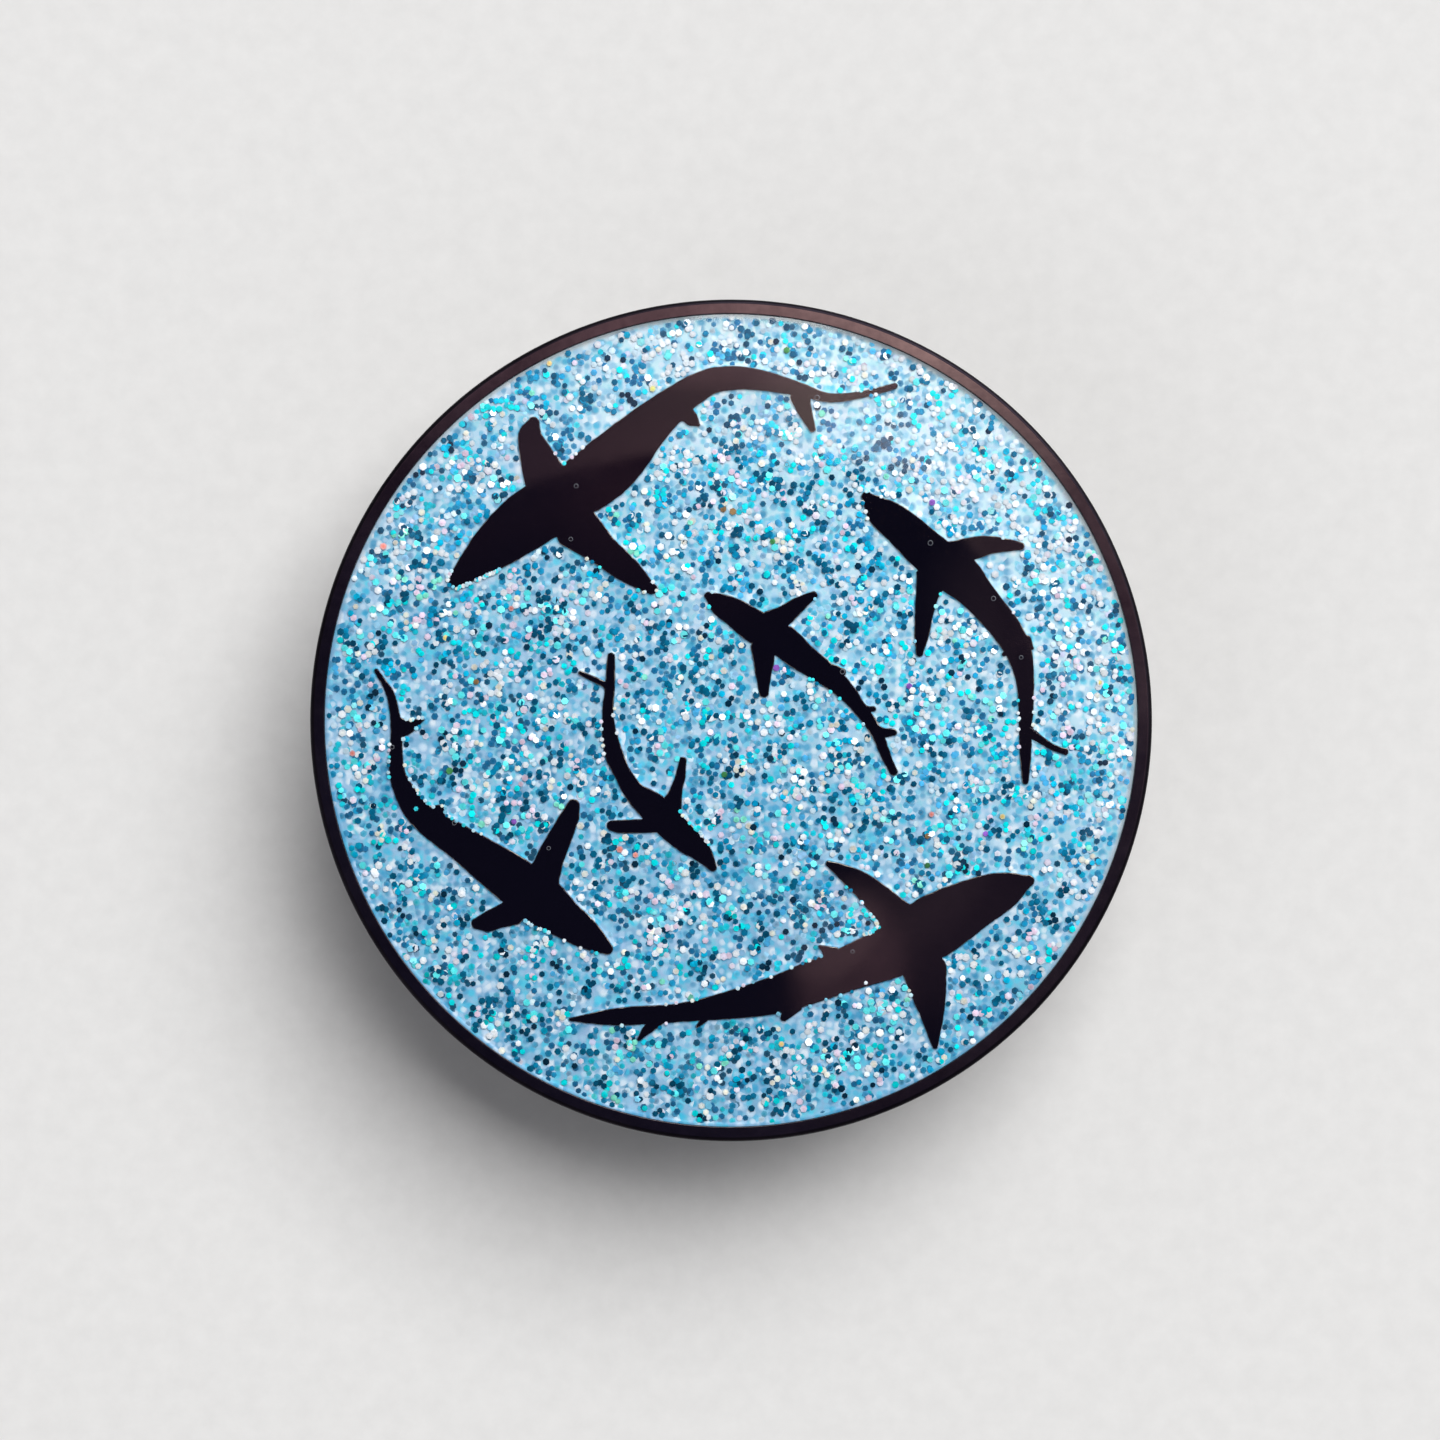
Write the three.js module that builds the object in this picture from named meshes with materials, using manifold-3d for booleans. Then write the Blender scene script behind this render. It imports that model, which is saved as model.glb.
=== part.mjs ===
// Round enamel pin: a die-struck metal plate with a raised rim and six raised sharks,
// glitter enamel between them, a clear dome over the face, two needle posts on the back
// and a butterfly clutch on each post.
//
// Millimetres, +Z up. The pin lies face up on its clutches. The origin is on the surface
// that it rests on, under the centre of the plate. +Y is the top of the artwork.

import * as THREE from 'three';
import { mergeVertices } from 'three/addons/utils/BufferGeometryUtils.js';
import Module from 'manifold-3d';

const wasm = await Module();
wasm.setup();

// ---- Driving dimensions ---------------------------------------------------------------

const PIN_RADIUS = 19;
const PIN_SEGMENTS = 96;
const GAP = 0.03; // between pieces that touch on the real pin

const PLATE = {
  thickness: 1.6, // back to rim top
  floor: 0.9, // back to the recess floor
  motif: 1.42, // back to the top of the raised sharks
  rimWidth: 0.66,
  edge: 0.18, // rounding of the rim's outer edge
  backField: 17.2, // radius of the sunken field on the back
  backSink: 0.1,
};
const DOME = { edge: 0.14, rise: 0.34, rings: 4, shoulder: 6 };
const OUTLINE = { step: 0.62, capSteps: 4, root: 0.3 }; // root: how deep the sharks sink in

const POST = {
  x: 8.5, // distance of each post from the centre
  radius: 0.55,
  length: 7,
  flangeRadius: 1.6,
  flange: 0.3,
  point: 1.3,
  tip: 0.09,
  groove: 0.12,
  grooveWidth: 0.35,
  segments: 20,
};
const CAP = {
  radius: 5.7,
  wall: 0.35,
  skirt: 1.9,
  crown: 0.55, // rounding between the face and the skirt
  nozzleRadius: 1.55,
  nozzle: 0.9,
  bore: 0.7,
  lip: 0.66, // how far the rolled edge turns in under the spring
  segments: 30,
};
const SPRING = {
  thickness: 0.3,
  width: 5,
  plateRadius: 5.25,
  slot: 1.06, // half the slot that the wings and the post pass through
  jaw: 0.78, // wing's distance from the post's axis where it grips
  foot: 7.05, // middle of the wings where they turn back up, below the nozzle
  bend: 0.4, // length of the straight steps that a bend is made of
};

const RIM_INNER = PIN_RADIUS - PLATE.rimWidth;
const CLUTCH_TOP = POST.flange + 0.05; // below the plate's back

const COLOURS = {
  nickel: { color: 0x1b171b, roughness: 0.22, metalness: 1 },
  enamel: { color: 0x6fb4d8, roughness: 0.35, metalness: 0.1 },
  epoxy: { color: 0xe8f4fa, roughness: 0.05, metalness: 0 },
  post: { color: 0x3a373b, roughness: 0.3, metalness: 1 },
  clutch: { color: 0xc4c1bb, roughness: 0.25, metalness: 1 },
  spring: { color: 0xb9b4aa, roughness: 0.32, metalness: 1 },
};

// ---- The six sharks -------------------------------------------------------------------
// Every limb (body, fin or tail lobe) is a curved blade. Its stations run along its middle
// from root to tip, or from snout to tail, each as [x, y, half of the width there].

const SHARKS = [
  [ // large, upper left, swimming down to the left
    [[-12.42, 6.34, 0.36], [-10.9, 7.66, 0.97], [-9.14, 9.07, 1.31], [-6.78, 10.53, 1.3],
      [-5.4, 11.61, 1.32], [-3.33, 13.66, 0.88], [-1.07, 15.25, 0.58], [0.6, 15.45, 0.5],
      [2.78, 15.03, 0.33], [4.54, 14.56, 0.19], [6.4, 14.83, 0.14], [7.39, 15.1, 0.12]],
    [[-8.4, 11, 0.95], [-8.86, 12.18, 0.7], [-9.08, 12.95, 0.5], [-8.92, 13.43, 0.27]],
    [[-7.02, 8.79, 1.06], [-5.75, 7.66, 0.7], [-4.63, 6.75, 0.56], [-3.6, 5.95, 0.25]],
    [[-2.37, 14.1, 0.5], [-1.75, 13.58, 0.3], [-1.5, 13.36, 0.09]],
    [[3.13, 14.65, 0.45], [3.34, 13.94, 0.3], [3.67, 13.17, 0.14]],
  ],
  [ // medium, right, swimming up to the left
    [[6.14, 10.08, 0.24], [6.76, 9.42, 0.66], [7.56, 8.82, 0.8], [9.1, 7.43, 0.92],
      [10.28, 6.55, 0.98], [11.17, 5.62, 0.76], [12.86, 3.42, 0.62], [13.27, 1.74, 0.39],
      [13.29, -0.54, 0.28], [13.29, -1.57, 0.24], [13.28, -2.75, 0.13]],
    [[10.03, 7.48, 0.6], [10.96, 7.78, 0.5], [11.9, 7.93, 0.37], [13.06, 7.87, 0.17]],
    [[9.1, 6.46, 0.75], [8.84, 5.62, 0.49], [8.61, 3.94, 0.32], [8.51, 3.05, 0.15]],
    [[13.25, 3.6, 0.3], [13.55, 3.28, 0.1]],
    [[12.7, 3.25, 0.35], [12.32, 2.98, 0.08]],
    [[13.43, -0.49, 0.25], [13.9, -0.82, 0.17], [14.46, -1.17, 0.13], [15.07, -1.41, 0.13]],
  ],
  [ // small, centre, swimming up to the left
    [[-1.02, 5.62, 0.17], [-0.52, 5.27, 0.48], [0.2, 4.85, 0.62], [1.1, 4.23, 0.73],
      [2.36, 3.57, 0.74], [3.18, 2.89, 0.64], [4.87, 1.63, 0.45], [5.88, 0.46, 0.3],
      [6.59, -0.58, 0.26], [7.02, -1.66, 0.2], [7.32, -2.3, 0.17]],
    [[1.9, 4.42, 0.58], [2.52, 4.81, 0.43], [3.06, 5.24, 0.33], [3.73, 5.67, 0.15]],
    [[1.46, 3.35, 0.55], [1.48, 2.63, 0.45], [1.46, 1.97, 0.32], [1.48, 1.25, 0.2]],
    [[4.62, 2.15, 0.4], [5, 2.18, 0.18]],
    [[6.03, 0.48, 0.2], [6.42, 0.52, 0.1]],
    [[6.69, -0.55, 0.28], [7.05, -0.55, 0.19], [7.33, -0.53, 0.14]],
  ],
  [ // small, left of centre, swimming down to the right
    [[-0.83, -6.63, 0.18], [-1.4, -5.87, 0.47], [-2.18, -5.23, 0.63], [-3.53, -3.93, 0.67],
      [-4.34, -3.26, 0.47], [-4.89, -2.39, 0.37], [-5.3, -1.5, 0.4], [-5.56, 0.17, 0.24],
      [-5.48, 1.46, 0.22], [-5.41, 2.9, 0.15]],
    [[-2.72, -3.87, 0.5], [-2.49, -3.22, 0.28], [-2.28, -2.5, 0.2], [-2.17, -1.81, 0.15]],
    [[-3.44, -4.66, 0.4], [-4.16, -4.77, 0.3], [-4.95, -4.79, 0.29], [-5.36, -4.75, 0.23]],
    [[-5.6, 1.54, 0.16], [-6.11, 1.82, 0.12], [-6.79, 2.13, 0.09]],
  ],
  [ // medium, left, swimming down to the right
    [[-5.62, -10.28, 0.28], [-6.45, -9.7, 0.65], [-7.5, -8.98, 0.86], [-8.57, -8.15, 1.13],
      [-9.78, -7.23, 1.08], [-12.04, -5.64, 0.79], [-14.07, -4.2, 0.58], [-14.7, -3.27, 0.47],
      [-15.08, -2.31, 0.34], [-15.12, -0.31, 0.23], [-15.38, 1.18, 0.17], [-16.02, 2.25, 0.07]],
    [[-8.5, -7.2, 0.75], [-8.15, -6.2, 0.6], [-7.31, -4.41, 0.42], [-7.11, -3.83, 0.27]],
    [[-9.86, -8.65, 0.6], [-10.51, -8.89, 0.47], [-11.07, -9.12, 0.43], [-11.44, -9.16, 0.26]],
    [[-13.31, -4.5, 0.5], [-13.2, -4.12, 0.3]],
    [[-14.84, -0.31, 0.42], [-14.47, -0.26, 0.26], [-13.95, 0.04, 0.08]],
  ],
  [ // large, lower right, swimming up to the right
    [[13.39, -7.25, 0.27], [12.45, -7.62, 0.8], [11.01, -8.26, 1.13], [9.03, -9.37, 1.42],
      [7.19, -10.43, 1.2], [5.44, -11.14, 1], [3.55, -11.85, 0.93], [1.87, -12.43, 0.83],
      [-1.99, -13.15, 0.43], [-5.26, -13.38, 0.37], [-7.25, -13.5, 0.06]],
    [[8.71, -11.19, 1], [8.94, -12.37, 0.76], [9.09, -13.41, 0.49], [9.2, -14.7, 0.12]],
    [[7.52, -8.96, 0.85], [6.55, -7.97, 0.64], [5.54, -7.14, 0.47], [4.4, -6.47, 0.12]],
    [[4.55, -10.59, 0.4], [4.03, -10.22, 0.08]],
    [[2.76, -12.82, 0.45], [2.4, -13.42, 0.16]],
    [[-1.2, -13.45, 0.15], [-1.53, -13.82, 0.04]],
    [[-3.33, -13.41, 0.4], [-3.77, -13.93, 0.2], [-4.17, -14.4, 0.05]],
  ],
];

// ---- Solids ---------------------------------------------------------------------------

// A closed geometry as a manifold solid, without the folded triangles on a lathe's axis.
function toSolid(geometry) {
  const bare = geometry.clone();
  bare.deleteAttribute('normal');
  bare.deleteAttribute('uv');
  const merged = mergeVertices(bare, 1e-5);
  const index = merged.index.array;
  const triangles = [];
  for (let i = 0; i < index.length; i += 3) {
    const [a, b, c] = [index[i], index[i + 1], index[i + 2]];
    if (a !== b && b !== c && c !== a) triangles.push(a, b, c);
  }
  const mesh = new wasm.Mesh({
    numProp: 3,
    vertProperties: new Float32Array(merged.attributes.position.array),
    triVerts: new Uint32Array(triangles),
  });
  return new wasm.Manifold(mesh);
}

function toGeometry(solid) {
  const mesh = solid.getMesh();
  const geometry = new THREE.BufferGeometry();
  geometry.setAttribute('position', new THREE.BufferAttribute(mesh.vertProperties, mesh.numProp));
  geometry.setIndex(new THREE.BufferAttribute(mesh.triVerts, 1));
  return geometry;
}

// A turned piece about the Z axis. The profile holds [radius, height] pairs and runs up the
// outside, so that the faces point out.
function turned(profile, segments) {
  const points = profile.map(([radius, height]) => new THREE.Vector2(radius, height));
  const geometry = new THREE.LatheGeometry(points, segments);
  geometry.rotateX(Math.PI / 2);
  return geometry;
}

// Heights from bottom to top as one upright prism.
function prism(shape, bottom, top) {
  const geometry = new THREE.ExtrudeGeometry(shape, { depth: top - bottom, bevelEnabled: false });
  geometry.translate(0, 0, bottom);
  return geometry;
}

// [x, y] points of a quarter round from angle start to angle end, in degrees.
function arc(cx, cy, radius, start, end, steps) {
  return Array.from({ length: steps + 1 }, (_, i) => {
    const angle = THREE.MathUtils.degToRad(start + ((end - start) * i) / steps);
    return [cx + radius * Math.cos(angle), cy + radius * Math.sin(angle)];
  });
}

// The outline of a blade along its stations, with round ends, grown sideways by grow.
function bladeOutline(stations, grow, step) {
  const line = new THREE.CatmullRomCurve3(stations.map((s) => new THREE.Vector3(...s)));
  const spans = stations.length - 1;
  const count = spans * Math.max(1, Math.round(line.getLength() / step / spans));
  const left = [];
  const right = [];
  const ends = [];
  for (let i = 0; i <= count; i += 1) {
    const point = line.getPoint(i / count);
    const ahead = line.getTangent(i / count);
    const heading = Math.atan2(ahead.y, ahead.x);
    const reach = point.z + grow;
    const side = [-Math.sin(heading) * reach, Math.cos(heading) * reach];
    left.push([point.x + side[0], point.y + side[1]]);
    right.push([point.x - side[0], point.y - side[1]]);
    ends.push([point.x, point.y, reach, THREE.MathUtils.radToDeg(heading)]);
  }
  const [rootX, rootY, rootR, rootA] = ends[0];
  const [tipX, tipY, tipR, tipA] = ends[count];
  const steps = OUTLINE.capSteps;
  const tip = arc(tipX, tipY, tipR, tipA + 90, tipA - 90, steps).slice(1, -1);
  const root = arc(rootX, rootY, rootR, rootA - 90, rootA - 270, steps).slice(1, -1);
  const points = [...left, ...tip, ...right.reverse(), ...root];
  return new THREE.Shape(points.map(([x, y]) => new THREE.Vector2(x, y)));
}

// All sharks as one solid between two heights, grown sideways by grow.
function sharks(bottom, top, grow) {
  const blades = SHARKS.flat().map((limb) => {
    return toSolid(prism(bladeOutline(limb, grow, OUTLINE.step), bottom, top));
  });
  return blades.reduce((joined, blade) => joined.add(blade));
}

// ---- Pieces ---------------------------------------------------------------------------
// The plate, the enamel, the dome and the posts are drawn from the plane of the plate's back.
// The clutch's pieces are drawn from the plane of its nozzle, with the post's axis at 0, 0.

// Plate, rim and sharks are struck in one piece.
function basePlate() {
  const { thickness, floor, motif, edge, backField, backSink } = PLATE;
  const half = edge / 2;
  const body = turned([
    [0, backSink],
    [backField, backSink],
    [backField + backSink, 0],
    [PIN_RADIUS - half, 0],
    [PIN_RADIUS, half],
    ...arc(PIN_RADIUS - edge, thickness - edge, edge, 0, 90, 3),
    [RIM_INNER, thickness],
    [RIM_INNER, floor],
    [0, floor],
  ], PIN_SEGMENTS);
  const motifSolid = sharks(floor - OUTLINE.root, motif, 0);
  return toGeometry(toSolid(body).add(motifSolid));
}

// Enamel fills the recess round the sharks.
function enamelFill() {
  const radius = RIM_INNER - GAP;
  const bottom = PLATE.floor + GAP;
  const top = PLATE.motif;
  const disc = turned([[0, bottom], [radius, bottom], [radius, top], [0, top]], PIN_SEGMENTS);
  const holes = sharks(bottom - 1, top + 1, GAP);
  return toGeometry(toSolid(disc).subtract(holes));
}

// Clear epoxy: flat over the middle and falling away to the rim.
function dome() {
  const radius = RIM_INNER - GAP;
  const bottom = PLATE.motif + GAP;
  const profile = [[0, bottom], [radius, bottom]];
  for (let i = 0; i <= DOME.rings; i += 1) {
    const r = radius * (1 - (i / DOME.rings) ** 2);
    const fall = (r / radius) ** DOME.shoulder;
    profile.push([r, bottom + DOME.edge + DOME.rise * (1 - fall)]);
  }
  return turned(profile, PIN_SEGMENTS);
}

// Needle post: a flange soldered to the back, a shank, a groove and a point.
function post() {
  const { radius, length, flangeRadius, flange, point, tip, groove, grooveWidth } = POST;
  const shoulder = -length + point;
  const low = shoulder + grooveWidth;
  return turned([
    [0, -length],
    [tip, -length + tip],
    [radius, shoulder],
    [radius, low],
    [radius - groove, low + groove],
    [radius - groove, low + grooveWidth],
    [radius, low + grooveWidth + groove],
    [radius, -flange],
    [flangeRadius, -flange],
    [flangeRadius, -GAP],
    [0, -GAP],
  ], POST.segments);
}

// Clutch cap: a cup with a nozzle for the needle and an edge rolled in round the spring.
function clutchCap() {
  const { radius, wall, skirt, crown, nozzleRadius, nozzle, bore, lip } = CAP;
  const face = -nozzle;
  const foot = face - skirt;
  const inner = radius - wall;
  const roll = wall / 2;
  return turned([
    [bore, face - wall],
    [inner - crown, face - wall],
    [inner, face - wall - crown],
    [inner, foot + wall],
    [radius - lip, foot + wall],
    [radius - lip, foot + roll],
    [radius - lip + roll, foot],
    [radius - roll, foot],
    [radius, foot + roll],
    ...arc(radius - crown, face - crown, crown, 0, 90, 3),
    [nozzleRadius, face],
    [nozzleRadius, -roll],
    [nozzleRadius - roll, 0],
    [bore + roll, 0],
    [bore, -roll],
    [bore, face - wall],
  ], CAP.segments);
}

// The flat middle of the spring, with the slot that the wings stand in.
function springPlate() {
  const bottom = -CAP.nozzle - CAP.skirt + CAP.wall + GAP;
  const disc = new THREE.Shape();
  disc.absarc(0, 0, SPRING.plateRadius, 0, 2 * Math.PI);
  const [x, y] = [SPRING.slot, SPRING.width / 2 + 0.1];
  const corners = [[-x, -y], [-x, y], [x, y], [x, -y]];
  disc.holes.push(new THREE.Path(corners.map(([u, v]) => new THREE.Vector2(u, v))));
  return prism(disc, bottom, bottom + SPRING.thickness);
}

// One wing of the spring, on the +X side: a jaw beside the post, then a loop down, out and
// back up towards the rim of the cap.
function springWing() {
  const half = SPRING.thickness / 2;
  const loop = [
    [SPRING.jaw, -1.55], [SPRING.jaw, -2.35], [1.12, -3.6], [1.75, -5.55], [2.9, -SPRING.foot],
    [4.35, -6.35], [5.02, -4.9], [5.1, -3.5],
  ];
  const strip = bladeOutline(loop.map(([x, z]) => [x, z, half]), 0, SPRING.bend);
  const width = SPRING.width;
  const band = new THREE.ExtrudeGeometry(strip, { depth: width, bevelEnabled: false });
  band.rotateX(Math.PI / 2);
  band.translate(0, width / 2, 0);

  const plan = new THREE.Shape();
  const round = width / 2 - 0.1;
  const reach = 5.4;
  plan.moveTo(0, -width / 2);
  plan.lineTo(reach - round, -width / 2);
  plan.absellipse(reach - round, 0, round, width / 2, -Math.PI / 2, Math.PI / 2);
  plan.lineTo(0, width / 2);
  const cutter = prism(plan, -SPRING.foot - 1, 0);
  return toGeometry(toSolid(band).intersect(toSolid(cutter)));
}

// ---- Assembly -------------------------------------------------------------------------

function add(parent, name, geometry, material) {
  const mesh = new THREE.Mesh(geometry, new THREE.MeshStandardMaterial(material));
  mesh.name = name;
  parent.add(mesh);
  return mesh;
}

// The pin stands on the wings, so its back is as high as a clutch is tall.
const wing = springWing();
wing.computeBoundingBox();
const back = CLUTCH_TOP - wing.boundingBox.min.z;

const group = new THREE.Group();
const face = new THREE.Group();
face.position.z = back;
group.add(face);
add(face, 'base_plate', basePlate(), COLOURS.nickel);
add(face, 'glitter_enamel', enamelFill(), COLOURS.enamel);
add(face, 'epoxy_dome', dome(), COLOURS.epoxy);

for (const [side, x] of [['left', -POST.x], ['right', POST.x]]) {
  const needle = add(face, `post_${side}`, post(), COLOURS.post);
  needle.position.set(x, 0, PLATE.backSink);

  const clutch = new THREE.Group();
  clutch.position.set(x, 0, back - CLUTCH_TOP);
  group.add(clutch);
  add(clutch, `clutch_cap_${side}`, clutchCap(), COLOURS.clutch);
  add(clutch, `spring_plate_${side}`, springPlate(), COLOURS.spring);
  add(clutch, `spring_wing_${side}_a`, wing, COLOURS.spring);
  const opposite = add(clutch, `spring_wing_${side}_b`, wing, COLOURS.spring);
  opposite.rotation.z = Math.PI;
}

export default group;
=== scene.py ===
"""Enamel pin, face up on its clutches: black nickel plate with raised sharks, glitter enamel
under a clear epoxy coat, needle posts and butterfly clutches.

Sizes are in metres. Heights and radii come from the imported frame's boxes, and the sharks'
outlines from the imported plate's own mesh.
"""
import math
import random

import bmesh
import bpy
from mathutils import Matrix, Vector, geometry, noise
from mathutils.bvhtree import BVHTree
from mathutils.kdtree import KDTree


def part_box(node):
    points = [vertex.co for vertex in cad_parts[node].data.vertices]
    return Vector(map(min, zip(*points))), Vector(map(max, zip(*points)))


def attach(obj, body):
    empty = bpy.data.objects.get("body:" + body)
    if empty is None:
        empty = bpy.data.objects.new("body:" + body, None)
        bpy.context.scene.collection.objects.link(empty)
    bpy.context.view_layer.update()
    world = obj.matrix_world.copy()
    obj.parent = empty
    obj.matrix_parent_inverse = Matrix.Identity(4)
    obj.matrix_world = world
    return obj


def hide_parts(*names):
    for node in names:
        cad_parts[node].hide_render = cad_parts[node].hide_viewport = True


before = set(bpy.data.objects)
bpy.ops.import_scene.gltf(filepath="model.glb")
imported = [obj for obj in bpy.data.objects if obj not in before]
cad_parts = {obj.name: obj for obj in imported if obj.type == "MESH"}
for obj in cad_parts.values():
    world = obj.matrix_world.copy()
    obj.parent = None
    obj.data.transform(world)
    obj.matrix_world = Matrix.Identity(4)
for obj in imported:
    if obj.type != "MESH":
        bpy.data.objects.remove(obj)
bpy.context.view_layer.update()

MM = 0.001
TAU = 2 * math.pi

# ---- Sizes read from the frame ----------------------------------------------------------

plate_low, plate_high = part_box("base_plate")
enamel_low, enamel_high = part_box("glitter_enamel")
dome_low, dome_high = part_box("epoxy_dome")

PIN_R = plate_high.x
BACK = plate_low.z
RIM_TOP = plate_high.z
GAP = 0.03 * MM  # between neighbouring pieces in the CAD model
RECESS_R = enamel_high.x + GAP
FLOOR_Z = enamel_low.z - GAP
MOTIF_Z = enamel_high.z

LIGHT_WAY = (0.5, 0.87)  # the way towards the key light, up and to the right; the enamel and flakes are painted lighter along it (painted light)
SHORE = 0.24 * MM  # width of the band along the rim that carries the enamel's painted shade and painted light

# ---- Mesh helpers -----------------------------------------------------------------------


def mesh_object(name, vertices, faces, materials, face_slots=None, sharp=35):
    """A smooth-shaded object whose edges steeper than sharp degrees stay crisp."""
    mesh = bpy.data.meshes.new(name)
    mesh.from_pydata([tuple(v) for v in vertices], [], faces)
    for material in materials:
        mesh.materials.append(material)
    if face_slots:
        mesh.polygons.foreach_set("material_index", face_slots)
    mesh.validate()
    mesh.polygons.foreach_set("use_smooth", [True] * len(mesh.polygons))
    mesh.set_sharp_from_angle(angle=math.radians(sharp))
    piece = bpy.data.objects.new(name, mesh)
    bpy.context.scene.collection.objects.link(piece)
    return piece


def face_outwards(piece):
    """Turns the faces of a piece all the same way, outwards."""
    bm = bmesh.new()
    bm.from_mesh(piece.data)
    bmesh.ops.recalc_face_normals(bm, faces=bm.faces)
    bm.to_mesh(piece.data)
    bm.free()


def belongs(piece, body, slot, *nodes):
    """Puts a piece on its body and hides the CAD nodes it stands for. Its finish (slot) is passed
    in but not used.
    """
    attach(piece, body)
    if nodes:
        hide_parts(*nodes)
    return piece


def arc(centre_r, centre_z, radius, start, end, steps):
    """(radius, height) points of a round corner, from angle start to end in degrees."""
    angles = [math.radians(start + (end - start) * i / steps) for i in range(steps + 1)]
    return [(centre_r + radius * math.cos(a), centre_z + radius * math.sin(a)) for a in angles]


def turned(name, profile, segments, materials, centre=(0, 0), slot_of=None, closed=False):
    """A solid of revolution. Its profile runs from axis to axis, or in a ring if closed."""
    vertices, rings = [], []
    for r, z in profile:
        if r < 1e-9:
            rings.append([len(vertices)])
            vertices.append((centre[0], centre[1], z))
            continue
        rings.append(list(range(len(vertices), len(vertices) + segments)))
        for k in range(segments):
            a = TAU * k / segments
            vertices.append((centre[0] + r * math.cos(a), centre[1] + r * math.sin(a), z))
    faces, slots = [], []
    pairs = list(zip(rings, rings[1:] + ([rings[0]] if closed else [])))
    for at, (low, high) in enumerate(pairs):
        for k in range(segments):
            n = (k + 1) % segments
            if len(low) == 1 and len(high) == 1:
                continue
            if len(low) == 1:
                faces.append((low[0], high[n], high[k]))
            elif len(high) == 1:
                faces.append((low[k], low[n], high[0]))
            else:
                faces.append((low[k], low[n], high[n], high[k]))
            slots.append(slot_of(at) if slot_of else 0)
    return mesh_object(name, vertices, faces, materials, slots)


# ---- Materials --------------------------------------------------------------------------


class Shader:
    """A node material under construction: each call adds one node and returns it."""

    def __init__(self, name):
        self.material = bpy.data.materials.new(name)
        self.material.use_nodes = True
        self.tree = self.material.node_tree
        self.tree.nodes.clear()
        self.output = self.add("ShaderNodeOutputMaterial")

    def add(self, kind, values=(), **settings):
        node = self.tree.nodes.new(kind)
        for key, value in settings.items():
            setattr(node, key, value)
        for key, value in dict(values).items():
            if hasattr(value, "links"):
                self.tree.links.new(value, node.inputs[key])
            else:
                node.inputs[key].default_value = value
        return node

    def place(self):
        return self.add("ShaderNodeTexCoord").outputs["Object"]

    def noise(self, scale, detail=3.0, rough=0.5, at=None):
        values = {"Vector": at or self.place(), "Scale": scale, "Detail": detail}
        values["Roughness"] = rough
        return self.add("ShaderNodeTexNoise", values).outputs["Fac"]

    def ramp(self, factor, *stops):
        """A colour ramp with (position, colour) stops; a number is a grey."""
        node = self.add("ShaderNodeValToRGB", {"Fac": factor})
        marks = node.color_ramp.elements
        while len(marks) < len(stops):
            marks.new(0.5)
        for mark, (position, colour) in zip(marks, stops):
            grey = isinstance(colour, (int, float))
            mark.position = position
            mark.color = (colour, colour, colour, 1) if grey else (*colour, 1)
        return node.outputs["Color"]

    def math(self, operation, a, b=0.0):
        node = self.add("ShaderNodeMath", operation=operation)
        for socket, value in zip(node.inputs, (a, b)):
            if hasattr(value, "links"):
                self.tree.links.new(value, socket)
            else:
                socket.default_value = value
        return node.outputs[0]

    def mix(self, factor, a, b, blend="MIX"):
        node = self.add("ShaderNodeMix", data_type="RGBA", blend_type=blend)
        for socket, value in ((node.inputs[0], factor), (node.inputs[6], a), (node.inputs[7], b)):
            if hasattr(value, "links"):
                self.tree.links.new(value, socket)
            else:
                socket.default_value = (*value, 1) if isinstance(value, tuple) else value
        return node.outputs[2]

    def bump(self, height, distance, strength=1.0, normal=None):
        values = {"Height": height, "Distance": distance, "Strength": strength}
        if normal:
            values["Normal"] = normal
        return self.add("ShaderNodeBump", values).outputs["Normal"]

    def finish(self, shader):
        self.tree.links.new(shader, self.output.inputs["Surface"])
        return self.material

    def principled(self, values):
        return self.finish(self.add("ShaderNodeBsdfPrincipled", values).outputs["BSDF"])


def stretched(shader, factors):
    """Object coordinates scaled per axis, for brushed or scratched textures."""
    mapping = shader.add("ShaderNodeMapping", {"Vector": shader.place(), "Scale": factors})
    return mapping.outputs["Vector"]


def plated_metal(name, dark, light, rough, grain, scratch=0.002 * MM):
    """Polished plating: slight tone drift, uneven gloss, hairline scratches."""
    s = Shader(name)
    tone = s.mix(0.45, s.noise(180, 4, 0.6), s.noise(1900, 4, 0.7))
    hair = s.noise(900, 6, 0.7, stretched(s, (0.15, 2.2, 1.0)))
    smudge = s.noise(260, 5, 0.65)
    gloss = s.mix(0.35, s.ramp(smudge, (0.3, rough[0]), (0.75, rough[1])),
                  s.ramp(hair, (0.4, rough[0]), (0.8, rough[1])))
    swell = s.bump(s.noise(grain, 2, 0.4), 0.01 * MM, 0.25)
    return s.principled({
        "Base Color": s.mix(s.ramp(tone, (0.36, 0.0), (0.64, 1.0)), dark, light),
        "Metallic": 1.0,
        "Roughness": gloss,
        "Normal": s.bump(hair, scratch, 0.3, swell),
    })


def worn_edge():
    """The struck edges, where handling has thinned the dark plating down to pale metal."""
    s = Shader("worn_edge")
    rub = s.noise(1500, 4, 0.6)
    wear = s.ramp(rub, (0.5, 0.0), (0.66, 1.0))
    return s.principled({
        "Base Color": s.mix(wear, (0.05, 0.042, 0.046), (0.34, 0.29, 0.24)),
        "Metallic": 1.0,
        "Roughness": s.ramp(rub, (0.3, 0.2), (0.7, 0.42)),
        "Normal": s.bump(rub, 0.004 * MM, 0.4),
    })


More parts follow.
